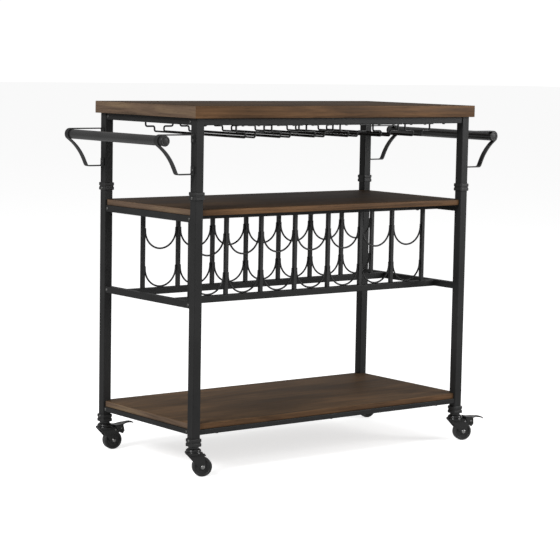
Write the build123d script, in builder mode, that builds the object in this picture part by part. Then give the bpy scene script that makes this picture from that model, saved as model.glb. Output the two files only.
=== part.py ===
"""Bar cart on casters: three boards on a square-tube frame, a two-tier wine rack, six
stemware racks, two push handles and four swivel casters, two of them with brake pedals.

Millimetres. +X runs along the length, +Y to the back, +Z up. The origin is on the floor,
under the middle of the cart.
"""

from build123d import *
import os
from math import cos, radians, sin, tan

os.makedirs("parts", exist_ok=True)

# --- overall sizes -----------------------------------------------------------------------
frame_length = 955.0  # over the outer faces of the legs, along X
frame_depth = 455.0  # over the outer faces of the legs, along Y
leg_side = 25.0
leg_wall = 1.5
leg_corner = 2.0
weld_gap = 0.05  # clearance where welded or pressed pieces meet on curved faces

# --- boards ------------------------------------------------------------------------------
top_overhang = 11.0
top_thickness = 32.5
shelf_thickness = 16.0
shelf_setback = 6.5  # shelf edge behind the outer face of the legs
notch_clearance = 0.5
board_chamfer = 0.8

# --- rails -------------------------------------------------------------------------------
rail_width = 20.0
rail_height = 18.0
bottom_rail_height = 13.5
rail_wall = 1.2
rail_corner = 1.5

# --- heights of the spaces, from the floor up -----------------------------------------------
collar_to_rail = 9.0  # foot collars to the lowest rails
bottom_space = 303.5  # bottom shelf to the rack's lower rails
rack_height = 207.0  # between the rack's lower and upper rails
middle_space = 218.5  # middle shelf to the rails under the top

# --- wine rack -----------------------------------------------------------------------------
rack_cells = 7
rack_rail_y = 113.0  # centre line of the rack's long rails, either side of the middle
rack_end_gap = 39.0  # end rail to the first bar
bar_side = 10.0
wire_radius = 2.5
cradle_upright = 6.0
tier_pitch = 105.0

# --- stemware racks --------------------------------------------------------------------------
glass_racks = 6
glass_rack_gap = 25.4  # between the outer wires of two neighbouring racks
slot_half = 16.0  # wire centre to the middle of the stem slot
rack_end_inset = 15.5  # wire ends behind the outer face of the legs
first_drop = 19.5  # rail underside to the ledge
second_drop = 14.0  # ledge to the glass runners
wire_bend = 5.5
foot_plate_thickness = 2.0
foot_plate_width = 16.0
foot_plate_margin = 6.0
plate_screw_inset = 20.0

# --- push handles ------------------------------------------------------------------------------
grip_radius = 13.0
grip_wall = 1.5
grip_reach = 102.5  # leg face to the grip's axis
grip_below_top = 89.0  # top surface to the grip's axis
grip_overhang = 9.5  # grip end beyond the outer face of the legs
cap_lip = 1.0
cap_thickness = 5.0
cap_plug = 8.0
cap_fillet = 2.0
strap_thickness = 3.0
strap_width = 16.0
strap_drop = 87.5  # grip axis down to the lower arm
strap_leave_angle = 35.0  # degrees below level where the strap leaves the grip
strap_steep_angle = 65.0  # degrees below level above the lower bend
strap_sweep_radius = 140.0
strap_sweep_run = 40.0
strap_low_bend = 9.0
strap_tab_bend = 4.0
strap_tab = 22.0
upper_screw_drop = 15.0  # top of the upper arm to its tab screw
lower_screw_rise = 12.0  # underside of the lower arm to its tab screw

# --- leg collars -----------------------------------------------------------------------------
collar_length = 21.0
collar_above_shelf = 25.0
collar_wall = 2.0
collar_bead_rise = 1.5
collar_bead_length = 9.0
collar_bead_fillet = 2.0
collar_corner = 3.0
collar_bead_corner = 4.0

# --- screws ----------------------------------------------------------------------------------
screw_head_radius = 4.0
screw_head_height = 2.2
screw_radius = 2.0
screw_length = 8.0
screw_hole_clearance = 0.1
rail_screw_inset = 7.0
wood_screw_head_radius = 4.5
wood_screw_head_height = 3.0
wood_screw_bite = 11.0
wood_screw_inset = 62.0  # rail end to the outer screws
wood_screws_per_rail = 3
dome_share = 0.8  # rounding of a domed head, as a share of the head's height

# --- casters ---------------------------------------------------------------------------------
wheel_radius = 26.0
wheel_width = 20.0
wheel_shoulder = 2.0
tread_depth = 5.5
wheel_web_recess = 3.0
wheel_web_slope = 1.5
hub_radius = 9.0
hub_stand = 0.5  # hub face beyond the side of the tread
trail = 23.0  # swivel axis to the axle
axle_radius = 4.0
axle_head_radius = 5.5
axle_head_height = 3.0
nut_radius = 6.5
nut_height = 4.0
axle_end_stand = 1.0  # bolt end beyond the nut
running_clearance = 0.05
cheek_gap = 1.5  # wheel side to cheek
cheek_thickness = 2.5
cheek_boss_radius = 8.5
cheek_tail_radius = 5.0  # upper rear corner of a cheek that carries no pedal
cheek_nose_radius = 4.0
cheek_nose_x = -17.0
cheek_nose_rise = 4.5  # crown skirt to the middle of the nose
crown_skirt = 8.5  # height of the recess under the crown
crown_floor = 8.5  # thickness of the crown above the recess
crown_ring_radius = 21.5
crown_neck_radius = 19.0
crown_top_radius = 15.0
crown_recess_radius = 15.0
crown_bevel = 2.5
crown_lower_ring = 7.0
crown_groove = 1.5
crown_ring_step = 1.0
crown_shoulder = 4.0
hood_clearance = 3.5  # wheel to the bridge over it
hood_before_axle = 18.0
hood_past_axle = 9.0
hood_thickness = 2.5
stem_radius = 5.0
stem_head_radius = 8.0
stem_head_height = 4.0
race_lip = 1.5  # fixed race beyond the sides of the leg
stem_race_height = 4.6
face_gap = 0.4  # between faces that turn past each other
plug_clearance = 0.1
plug_length = 26.0

# --- brake pedals ------------------------------------------------------------------------------
pivot_past_axle = 14.0
pivot_above_wheel = 6.0
pedal_boss_radius = 5.0
pivot_pin_radius = 2.5
pedal_travel = 10.0  # degrees, released to locked
pedal_ear_thickness = 2.0
pedal_plate_thickness = 2.5
pedal_start = (-11.0, 9.5)  # points along the released plate, out and up from the pivot
pedal_knee = (12.0, 11.0)
pedal_crest = (25.0, 14.0)
pedal_tip = (50.0, 9.5)
pedal_tip_half_width = 9.0
pedal_tip_radius = 6.0
pedal_ear_half = 8.0
pedal_ear_corner = 2.0
pedal_ear_rise = 8.5
shoe_half_width = 8.0
shoe_outline = [(4.0, -13.0), (13.0, -19.0), (20.0, -12.0), (19.0, 8.0), (10.0, 8.0)]  # about the pivot
shoe_clearance = 0.5  # shoe to tread with the pedal locked

# --- how each caster stands at rest: degrees its trailing side is turned from +X ---------------
caster_turn = {"front_left": -25.0, "front_right": -20.0, "back_left": -8.0, "back_right": -20.0}
pedal_at_rest = {"front_right": "locked", "back_left": "released"}

# --- derived sizes -------------------------------------------------------------------------------
half_length = frame_length / 2
half_depth = frame_depth / 2
leg_x = half_length - leg_side / 2
leg_y = half_depth - leg_side / 2
end_rail_length = frame_depth - 2 * leg_side
long_rail_length = frame_length - 2 * leg_side
end_rail_inner_x = leg_x - rail_width / 2
rack_rail_length = 2 * end_rail_inner_x

stem_race_radius = leg_side / 2 + race_lip
collar_sleeve = leg_side + 2 * collar_wall
collar_bead = collar_sleeve + 2 * collar_bead_rise
hood_z = 2 * wheel_radius + hood_clearance
crown_skirt_z = hood_z + hood_thickness
crown_floor_z = crown_skirt_z + crown_skirt
crown_top_z = crown_floor_z + crown_floor
foot_z = crown_top_z + face_gap + stem_race_height  # underside of the legs and of the foot collars
bottom_rail_z = foot_z + collar_length + collar_to_rail

bottom_shelf_z = bottom_rail_z + bottom_rail_height
rack_rail_z = bottom_shelf_z + shelf_thickness + bottom_space
bar_z = rack_rail_z + rail_height
middle_rail_z = bar_z + rack_height
middle_shelf_z = middle_rail_z + rail_height
middle_shelf_top = middle_shelf_z + shelf_thickness
top_rail_z = middle_shelf_top + middle_space
top_board_z = top_rail_z + rail_height
top_surface = top_board_z + top_thickness
leg_joint_z = middle_shelf_top + collar_above_shelf + collar_length / 2

cell_pitch = (rack_rail_length - 2 * rack_end_gap - bar_side) / rack_cells
cradle_radius = (cell_pitch - bar_side) / 2 - wire_radius - weld_gap
rack_half = (cell_pitch - glass_rack_gap) / 2
rack_end_y = half_depth - rack_end_inset
ledge_z = top_rail_z - first_drop
runner_z = ledge_z - second_drop

grip_z = top_surface - grip_below_top
grip_half_length = half_depth + grip_overhang
arm_upper_z = grip_z + grip_radius + weld_gap + strap_thickness / 2
arm_lower_z = grip_z - strap_drop
upper_screw_z = arm_upper_z + strap_thickness / 2 - upper_screw_drop
lower_screw_z = arm_lower_z - strap_thickness / 2 + lower_screw_rise

cheek_inner = wheel_width / 2 + cheek_gap
cheek_outer = cheek_inner + cheek_thickness
ear_inner = cheek_outer + face_gap
pedal_pivot_x = trail + pivot_past_axle
pedal_pivot_z = 2 * wheel_radius + pivot_above_wheel

corners = {
    "front_left": (-1, -1),
    "front_right": (1, -1),
    "back_left": (-1, 1),
    "back_right": (1, 1),
}
ends = {"left": -1, "right": 1}
sides = {"front": -1, "back": 1}


def save(part, name):
    part.label = name
    export_step(part, f"parts/{name}.step")


def tube_section(width, height, wall, corner):
    """Draw the section of a rectangular tube in the sketch that is open."""
    RectangleRounded(width, height, corner)
    RectangleRounded(width - 2 * wall, height - 2 * wall, corner / 4, mode=Mode.SUBTRACT)


def spaced(count, half_span):
    """Places of count items, evenly spaced over both sides of zero."""
    return [half_span * (2 * i / (count - 1) - 1) for i in range(count)]


# --- boards ------------------------------------------------------------------------------------
wood_screw_x = spaced(wood_screws_per_rail, long_rail_length / 2 - wood_screw_inset)


def top_board():
    with BuildPart() as board:
        with BuildSketch(Plane.XY.offset(top_board_z)):
            Rectangle(frame_length + 2 * top_overhang, frame_depth + 2 * top_overhang)
        extrude(amount=top_thickness)
        chamfer(board.edges(), board_chamfer)
        with BuildSketch(Plane.XY.offset(top_board_z)):
            with Locations(*[(x, side * leg_y) for x in wood_screw_x for side in (-1, 1)]):
                Circle(screw_radius)
        extrude(amount=wood_screw_bite, mode=Mode.SUBTRACT)
    return board.part


def shelf(board_z, screw_y):
    """A shelf notched at its corners around the four legs."""
    length = frame_length - 2 * shelf_setback
    depth = frame_depth - 2 * shelf_setback
    notch = 2 * (leg_side - shelf_setback + notch_clearance)
    with BuildPart() as board:
        with BuildSketch(Plane.XY.offset(board_z)):
            Rectangle(length, depth)
            with GridLocations(length, depth, 2, 2):
                Rectangle(notch, notch, mode=Mode.SUBTRACT)
        extrude(amount=shelf_thickness)
        top_edges = board.faces().sort_by(Axis.Z)[-1].edges()
        chamfer(top_edges, board_chamfer)
        with BuildSketch(Plane.XY.offset(board_z)):
            with Locations(*[(x, side * screw_y) for x in wood_screw_x for side in (-1, 1)]):
                Circle(screw_radius)
        extrude(amount=wood_screw_bite, mode=Mode.SUBTRACT)
    return board.part


save(top_board(), "top_board")
save(shelf(middle_shelf_z, rack_rail_y), "middle_shelf")
save(shelf(bottom_shelf_z, leg_y), "bottom_shelf")

# --- legs --------------------------------------------------------------------------------------
screw_hole_radius = screw_radius + screw_hole_clearance


def leg(side_x, side_y, z_low, z_high, screw_heights):
    """One length of leg, with screw holes through its outer wall."""
    with BuildPart() as tube:
        with BuildSketch(Plane.XY.offset(z_low)):
            with Locations((side_x * leg_x, side_y * leg_y)):
                tube_section(leg_side, leg_side, leg_wall, leg_corner)
        extrude(amount=z_high - z_low)
        with BuildSketch(Plane.YZ.offset(side_x * leg_x)):
            with Locations(*[(side_y * leg_y, z) for z in screw_heights]):
                Circle(screw_hole_radius)
        extrude(amount=side_x * leg_side, mode=Mode.SUBTRACT)
    return tube.part


collar_screw_low = leg_joint_z - collar_length / 4
foot_screw_z = foot_z + collar_length * 3 / 4
for corner, (side_x, side_y) in corners.items():
    lower = leg(side_x, side_y, foot_z, leg_joint_z, [foot_screw_z, collar_screw_low])
    save(lower, f"lower_leg_{corner}")
    upper = leg(side_x, side_y, leg_joint_z, top_board_z, [lower_screw_z, upper_screw_z])
    save(upper, f"upper_leg_{corner}")


def leg_collar(side_x, side_y, z_middle, screw_z):
    """A square sleeve with two rounded beads, and a hole for its set screw."""
    with BuildPart() as collar:
        with BuildSketch(Plane.XY.offset(z_middle - collar_length / 2)):
            RectangleRounded(collar_sleeve, collar_sleeve, collar_corner)
        extrude(amount=collar_length)
        bead_offset = (collar_length - collar_bead_length) / 2
        for z in (z_middle - bead_offset, z_middle + bead_offset):
            with BuildPart(mode=Mode.PRIVATE) as bead:
                with BuildSketch(Plane.XY.offset(z - collar_bead_length / 2)):
                    RectangleRounded(collar_bead, collar_bead, collar_bead_corner)
                extrude(amount=collar_bead_length)
                rims = bead.faces().filter_by(Axis.Z).edges()
                fillet(rims, collar_bead_fillet)
            add(bead.part)
        bore = leg_side + 2 * weld_gap
        with BuildSketch(Plane.XY.offset(z_middle - collar_length / 2)):
            RectangleRounded(bore, bore, leg_corner + weld_gap)
        extrude(amount=collar_length, mode=Mode.SUBTRACT)
        with BuildSketch(Plane.YZ):
            with Locations((0, screw_z)):
                Circle(screw_hole_radius)
        extrude(amount=side_x * collar_bead, mode=Mode.SUBTRACT)
    return collar.part.moved(Location((side_x * leg_x, side_y * leg_y, 0)))


collars = []
for side_x, side_y in corners.values():
    collars.append(leg_collar(side_x, side_y, foot_z + collar_length / 2, foot_screw_z))
    collars.append(leg_collar(side_x, side_y, leg_joint_z, collar_screw_low))
save(Compound(children=collars), "leg_collars")

# --- rails -------------------------------------------------------------------------------------


def end_rail(side_x, z_low, height):
    """A rail along Y between two legs, with a screw hole near each end of its outer wall."""
    with BuildPart() as rail:
        with BuildSketch(Plane.XZ.offset(-end_rail_length / 2)):
            with Locations((side_x * leg_x, z_low + height / 2)):
                tube_section(rail_width, height, rail_wall, rail_corner)
        extrude(amount=end_rail_length)
        with BuildSketch(Plane.YZ.offset(side_x * leg_x)):
            with Locations(*[(y, z_low + height / 2) for y in end_rail_screw_y]):
                Circle(screw_hole_radius)
        extrude(amount=side_x * rail_width, mode=Mode.SUBTRACT)
    return rail.part


def long_rail(rail_y, z_low, height, length):
    """A rail along X with clearance holes for the wood screws that pass up through it."""
    with BuildPart() as rail:
        with BuildSketch(Plane.YZ.offset(-length / 2)):
            with Locations((rail_y, z_low + height / 2)):
                tube_section(rail_width, height, rail_wall, rail_corner)
        extrude(amount=length)
        if z_low != rack_rail_z:
            with BuildSketch(Plane.XY.offset(z_low)):
                with Locations(*[(x, rail_y) for x in wood_screw_x]):
                    Circle(screw_hole_radius)
            extrude(amount=height, mode=Mode.SUBTRACT)
        if z_low == top_rail_z:
            with BuildSketch(Plane.XY.offset(z_low)):
                with Locations(*[(x, rail_y) for x in plate_screw_x]):
                    Circle(screw_hole_radius)
            extrude(amount=height / 2, mode=Mode.SUBTRACT)
    return rail.part


rack_x = spaced(glass_racks, cell_pitch * (glass_racks - 1) / 2)
plate_screw_offset = rack_half - plate_screw_inset
plate_screw_x = [x + side * plate_screw_offset for x in rack_x for side in (-1, 1)]
end_rail_screw_y = [side * (end_rail_length / 2 - rail_screw_inset) for side in (-1, 1)]
end_rail_levels = {  # underside and height of the rail
    "bottom": (bottom_rail_z, bottom_rail_height),
    "rack": (rack_rail_z, rail_height),
    "middle": (middle_rail_z, rail_height),
    "top": (top_rail_z, rail_height),
}
for level, (z, height) in end_rail_levels.items():
    for end, side in ends.items():
        save(end_rail(side, z, height), f"{level}_end_rail_{end}")

for where, side in sides.items():
    bottom_rail = long_rail(side * leg_y, bottom_rail_z, bottom_rail_height, long_rail_length)
    save(bottom_rail, f"bottom_rail_{where}")
    save(long_rail(side * leg_y, top_rail_z, rail_height, long_rail_length), f"top_rail_{where}")
    rack_rails = {"lower": rack_rail_z, "upper": middle_rail_z}
    for level, z in rack_rails.items():
        rail = long_rail(side * rack_rail_y, z, rail_height, rack_rail_length)
        save(rail, f"rack_{level}_rail_{where}")

# --- wine rack -----------------------------------------------------------------------------------


def rack_bars(rail_y):
    with BuildPart() as bars:
        with BuildSketch(Plane.XY.offset(bar_z)):
            with Locations(*[(x, rail_y) for x in spaced(rack_cells + 1, cell_pitch * rack_cells / 2)]):
                Rectangle(bar_side, bar_side)
        extrude(amount=rack_height)
    return bars.part


def cradle(middle_x, rail_y, z_low):
    """One U of wire between two bars: half a circle with a short upright at each end."""
    centre_z = z_low + wire_radius + weld_gap + cradle_radius
    with BuildPart() as wire:
        with BuildLine(Plane.XZ.offset(-rail_y)) as path:
            left = Line(
                (middle_x - cradle_radius, centre_z + cradle_upright), (middle_x - cradle_radius, centre_z)
            )
            bowl = TangentArc(
                [left @ 1, (middle_x + cradle_radius, centre_z)], tangent=left % 1
            )
            Line(bowl @ 1, (middle_x + cradle_radius, centre_z + cradle_upright))
        with BuildSketch(Plane(path.line @ 0, z_dir=path.line % 0)):
            Circle(wire_radius)
        sweep()
    return wire.part


for where, side in sides.items():
    save(rack_bars(side * rack_rail_y), f"rack_bars_{where}")
    arcs = []
    for x in spaced(rack_cells, cell_pitch * (rack_cells - 1) / 2):
        for tier_z in (bar_z, bar_z + tier_pitch):
            arcs.append(cradle(x, side * rack_rail_y, tier_z))
    save(Compound(children=arcs), f"rack_cradles_{where}")

# --- stemware racks --------------------------------------------------------------------------------


def glass_wire(middle_x, side):
    """A bent wire: down from the front rail, in to the slot, back along it and up again."""
    outer_x = middle_x + side * rack_half
    inner_x = middle_x + side * slot_half
    foot_z_top = top_rail_z - foot_plate_thickness
    with BuildPart() as wire:
        with BuildLine() as path:
            FilletPolyline(
                (outer_x, -rack_end_y, foot_z_top),
                (outer_x, -rack_end_y, ledge_z),
                (inner_x, -rack_end_y, ledge_z),
                (inner_x, -rack_end_y, runner_z),
                (inner_x, rack_end_y, runner_z),
                (inner_x, rack_end_y, ledge_z),
                (outer_x, rack_end_y, ledge_z),
                (outer_x, rack_end_y, foot_z_top),
                radius=wire_bend,
            )
        with BuildSketch(Plane(path.line @ 0, z_dir=path.line % 0)):
            Circle(wire_radius)
        sweep()
    return wire.part


def foot_plate(middle_x, side_y):
    """The flat plate under a rail that two wires are welded to."""
    with BuildPart() as plate:
        with BuildSketch(Plane.XY.offset(top_rail_z - foot_plate_thickness)):
            with Locations((middle_x, side_y * leg_y)):
                RectangleRounded(2 * (rack_half + foot_plate_margin), foot_plate_width, leg_corner)
            with Locations(*[(middle_x + side * plate_screw_offset, side_y * leg_y) for side in (-1, 1)]):
                Circle(screw_hole_radius, mode=Mode.SUBTRACT)
        extrude(amount=foot_plate_thickness)
    return plate.part


for number, x in enumerate(rack_x, start=1):
    pieces = [glass_wire(x, -1), glass_wire(x, 1), foot_plate(x, -1), foot_plate(x, 1)]
    save(Compound(children=pieces), f"glass_rack_{number}")

# --- push handles ------------------------------------------------------------------------------------


def grip_tube(side_x):
    with BuildPart() as grip:
        with BuildSketch(Plane.XZ.offset(-grip_half_length)):
            with Locations((side_x * (half_length + grip_reach), grip_z)):
                Circle(grip_radius)
                Circle(grip_radius - grip_wall, mode=Mode.SUBTRACT)
        extrude(amount=2 * grip_half_length)
    return grip.part


def end_cap(side_x, side_y):
    """A domed disc with a plug that fits the bore of the grip."""
    with BuildPart() as cap:
        with BuildSketch(Plane.XZ.offset(-side_y * grip_half_length)):
            with Locations((side_x * (half_length + grip_reach), grip_z)):
                Circle(grip_radius + cap_lip)
        extrude(amount=-side_y * cap_thickness)
        outer_rim = cap.faces().filter_by(Axis.Y).sort_by(Axis.Y)[-1 if side_y > 0 else 0].edges()
        fillet(outer_rim, cap_fillet)
        with BuildSketch(Plane.XZ.offset(-side_y * grip_half_length)):
            with Locations((side_x * (half_length + grip_reach), grip_z)):
                Circle(grip_radius - grip_wall - weld_gap)
        extrude(amount=side_y * cap_plug)
    return cap.part


def handle_strap(side_x, side_y):
    """A flat strap: tab, arm over the grip, round it, down in a long curve, arm and tab."""
    wrap_radius = grip_radius + weld_gap + strap_thickness / 2
    tab_u = strap_thickness / 2
    leave = radians(strap_leave_angle)
    steep = radians(strap_steep_angle)
    corner_u = grip_reach + wrap_radius / tan(leave / 2)
    to_sweep = wrap_radius / tan(leave / 2) + strap_sweep_run
    sweep_u = corner_u - to_sweep * cos(leave)
    sweep_z = arm_upper_z - to_sweep * sin(leave)
    low_u = sweep_u - (sweep_z - arm_lower_z) / tan(steep)
    outline = [
        (tab_u, arm_upper_z + strap_thickness / 2 - strap_tab),
        (tab_u, arm_upper_z),
        (corner_u, arm_upper_z),
        (sweep_u, sweep_z),
        (low_u, arm_lower_z),
        (tab_u, arm_lower_z),
        (tab_u, arm_lower_z - strap_thickness / 2 + strap_tab),
    ]
    radii = [strap_tab_bend, wrap_radius, strap_sweep_radius, strap_low_bend, strap_tab_bend]
    points = [(side_x * (half_length + u), z) for u, z in outline]
    with BuildPart() as strap:
        with BuildLine(Plane.XZ.offset(-side_y * leg_y)) as path:
            FilletPolyline(*points, radius=radii)
        with BuildSketch(Plane(path.line @ 0, x_dir=(1, 0, 0), z_dir=path.line % 0)):
            Rectangle(strap_thickness, strap_width)
        sweep()
        with BuildSketch(Plane.YZ.offset(side_x * half_length)):
            with Locations((side_y * leg_y, upper_screw_z), (side_y * leg_y, lower_screw_z)):
                Circle(screw_hole_radius)
        extrude(amount=side_x * strap_thickness, mode=Mode.SUBTRACT)
    return strap.part


caps = []
for end, side in ends.items():
    save(grip_tube(side), f"handle_grip_{end}")
    save(Compound(children=[handle_strap(side, -1), handle_strap(side, 1)]), f"handle_straps_{end}")
    caps.extend([end_cap(side, -1), end_cap(side, 1)])
save(Compound(children=caps), "handle_end_caps")

# --- screws ------------------------------------------------------------------------------------------


def screw(head_radius, head_height, radius, length):
    """A dome-headed screw standing on its head's seat: the head above, the shank below."""
    with BuildPart() as body:
        with BuildSketch():
            Circle(head_radius)
        extrude(amount=head_height)
        fillet(body.faces().sort_by(Axis.Z)[-1].edges(), head_height * dome_share)
        with BuildSketch(Plane.XY):
            Circle(radius)
        extrude(amount=-length)
    return body.part


frame_screw = screw(screw_head_radius, screw_head_height, screw_radius, screw_length)


def wood_screw(height):
    """A screw that passes up through a rail of this height and bites into the board."""
    shank = screw_radius - weld_gap
    return screw(wood_screw_head_radius, wood_screw_head_height, shank, height + wood_screw_bite)



def facing_end(side_x, face_x, y, z):
    """Where a screw sits on a face that looks along X."""
    return Plane(origin=(side_x * face_x, y, z), x_dir=(0, 1, 0), z_dir=(side_x, 0, 0)).location


def facing_down(x, y, z):
    return Plane(origin=(x, y, z), x_dir=(1, 0, 0), z_dir=(0, 0, -1)).location


screw_places = []
for side_x, side_y in corners.values():
    for z in (upper_screw_z, lower_screw_z):
        screw_places.append(facing_end(side_x, half_length + strap_thickness, side_y * leg_y, z))
    collar_face = leg_x + collar_bead / 2
    for z in (collar_screw_low, foot_screw_z):
        screw_places.append(facing_end(side_x, collar_face, side_y * leg_y, z))
for side_x in (-1, 1):
    for z, height in end_rail_levels.values():
        for y in end_rail_screw_y:
            face = leg_x + rail_width / 2
            screw_places.append(facing_end(side_x, face, y, z + height / 2))
for x in plate_screw_x:
    for side_y in (-1, 1):
        screw_places.append(facing_down(x, side_y * leg_y, top_rail_z - foot_plate_thickness))
save(Compound(children=[frame_screw.moved(place) for place in screw_places]), "frame_screws")

short_screw = wood_screw(bottom_rail_height)
long_screw = wood_screw(rail_height)
wood_screws = []
for x in wood_screw_x:
    for side in (-1, 1):
        wood_screws.append(short_screw.moved(facing_down(x, side * leg_y, bottom_rail_z)))
        wood_screws.append(long_screw.moved(facing_down(x, side * leg_y, top_rail_z)))
        wood_screws.append(long_screw.moved(facing_down(x, side * rack_rail_y, middle_rail_z)))
save(Compound(children=wood_screws), "board_screws")

# --- casters, each drawn about a swivel axis on Z with its wheel trailing to +X ------------------------
def caster_stem():
    """The plug in the leg, the stem it carries, the fixed race and the head under the crown."""
    race_z = crown_top_z + face_gap
    head_top = crown_floor_z - face_gap
    plug_side = leg_side - 2 * leg_wall - 2 * plug_clearance
    with BuildPart() as stem:
        with BuildSketch(Plane.XY.offset(head_top - stem_head_height)):
            Circle(stem_head_radius)
        extrude(amount=stem_head_height)
        with BuildSketch(Plane.XY.offset(head_top)):
            Circle(stem_radius)
        extrude(amount=foot_z - head_top)
        with BuildSketch(Plane.XY.offset(race_z)):
            Circle(stem_race_radius)
        extrude(amount=foot_z - race_z)
        with BuildSketch(Plane.XY.offset(foot_z)):
            RectangleRounded(plug_side, plug_side, leg_corner / 2)
        extrude(amount=plug_length)
        with BuildSketch(Plane.YZ.offset(-plug_side / 2)):
            with Locations((0, foot_screw_z)):
                Circle(screw_hole_radius)
        extrude(amount=plug_side, mode=Mode.SUBTRACT)
    return stem.part


def caster_fork(braked):
    """The crown that turns on the stem, two cheeks, a bridge over the wheel."""
    groove_z = crown_skirt_z + crown_lower_ring + crown_groove
    with BuildPart() as fork:
        with BuildSketch(Plane.XZ):
            with BuildLine():
                Polyline(
                    (stem_radius + running_clearance, crown_floor_z),
                    (crown_recess_radius, crown_floor_z),
                    (crown_recess_radius, crown_skirt_z),
                    (crown_neck_radius, crown_skirt_z),
                    (crown_ring_radius, crown_skirt_z + crown_bevel),
                    (crown_ring_radius, groove_z - crown_groove),
                    (crown_neck_radius, groove_z),
                    (crown_ring_radius - crown_ring_step, groove_z + crown_groove),
                    (crown_ring_radius - crown_ring_step, crown_top_z - crown_shoulder),
                    (crown_top_radius, crown_top_z),
                    (stem_radius + running_clearance, crown_top_z),
                    close=True,
                )
            make_face()
        revolve(axis=Axis.Z)
        for side in (-1, 1):
            with BuildSketch(Plane.XZ.offset(-side * cheek_inner)):
                with Locations((trail, wheel_radius)):
                    Circle(cheek_boss_radius)
                if braked:
                    with Locations((pedal_pivot_x, pedal_pivot_z)):
                        Circle(pedal_boss_radius)
                else:
                    with Locations((trail, pedal_pivot_z)):
                        Circle(cheek_tail_radius)
                with Locations((cheek_nose_x, crown_skirt_z + cheek_nose_rise)):
                    Circle(cheek_nose_radius)
                make_hull()
            extrude(amount=-side * cheek_thickness)
        with BuildSketch(Plane.XY.offset(hood_z)):
            with Locations((trail + (hood_past_axle - hood_before_axle) / 2, 0)):
                Rectangle(hood_before_axle + hood_past_axle, 2 * cheek_inner)
        extrude(amount=hood_thickness)
        with BuildSketch(Plane.XZ.offset(-cheek_outer)):
            with Locations((trail, wheel_radius)):
                Circle(axle_radius + running_clearance)
        extrude(amount=2 * cheek_outer, mode=Mode.SUBTRACT)
        with BuildSketch(Plane.XY.offset(crown_skirt_z)):
            Circle(crown_recess_radius)
        extrude(amount=crown_floor_z - crown_skirt_z, mode=Mode.SUBTRACT)
        if braked:
            pin_end = ear_inner + pedal_ear_thickness + face_gap
            for side in (-1, 1):
                with BuildSketch(Plane.XZ.offset(-side * cheek_outer)):
                    with Locations((pedal_pivot_x, pedal_pivot_z)):
                        Circle(pivot_pin_radius)
                extrude(amount=-side * (pin_end - cheek_outer))
    return fork.part


def caster_wheel():
    half = wheel_width / 2
    recess = half - wheel_web_recess
    hub_half = half + hub_stand
    web_outer = wheel_radius - tread_depth
    web_inner = hub_radius + wheel_web_slope
    with BuildPart() as wheel:
        with BuildSketch(Plane.XY):
            with BuildLine():
                Polyline(
                    (axle_radius + running_clearance, -hub_half),
                    (hub_radius, -hub_half),
                    (web_inner, -recess),
                    (web_outer - wheel_web_slope, -recess),
                    (web_outer, -half),
                    (wheel_radius, -half),
                    (wheel_radius, half),
                    (web_outer, half),
                    (web_outer - wheel_web_slope, recess),
                    (web_inner, recess),
                    (hub_radius, hub_half),
                    (axle_radius + running_clearance, hub_half),
                    close=True,
                )
            shape = make_face()
            tread_corners = shape.vertices().group_by(Axis.X)[-1]
            fillet(tread_corners, wheel_shoulder)
        revolve(axis=Axis.Y)
    return wheel.part.moved(Location((trail, 0, wheel_radius)))


def caster_axle():
    """A domed bolt through both cheeks with a nut on its far end."""
    with BuildPart() as axle:
        with BuildSketch(Plane.XZ.offset(cheek_outer)):
            Circle(axle_head_radius)
        extrude(amount=axle_head_height)
        fillet(axle.faces().sort_by(Axis.Y)[0].edges(), axle_head_height * dome_share)
        with BuildSketch(Plane.XZ.offset(cheek_outer)):
            Circle(axle_radius)
        extrude(amount=-(2 * cheek_outer + nut_height + axle_end_stand))
        with BuildSketch(Plane.XZ.offset(-cheek_outer)):
            RegularPolygon(nut_radius, 6)
        extrude(amount=-nut_height)
    return axle.part.moved(Location((trail, 0, wheel_radius)))


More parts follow.
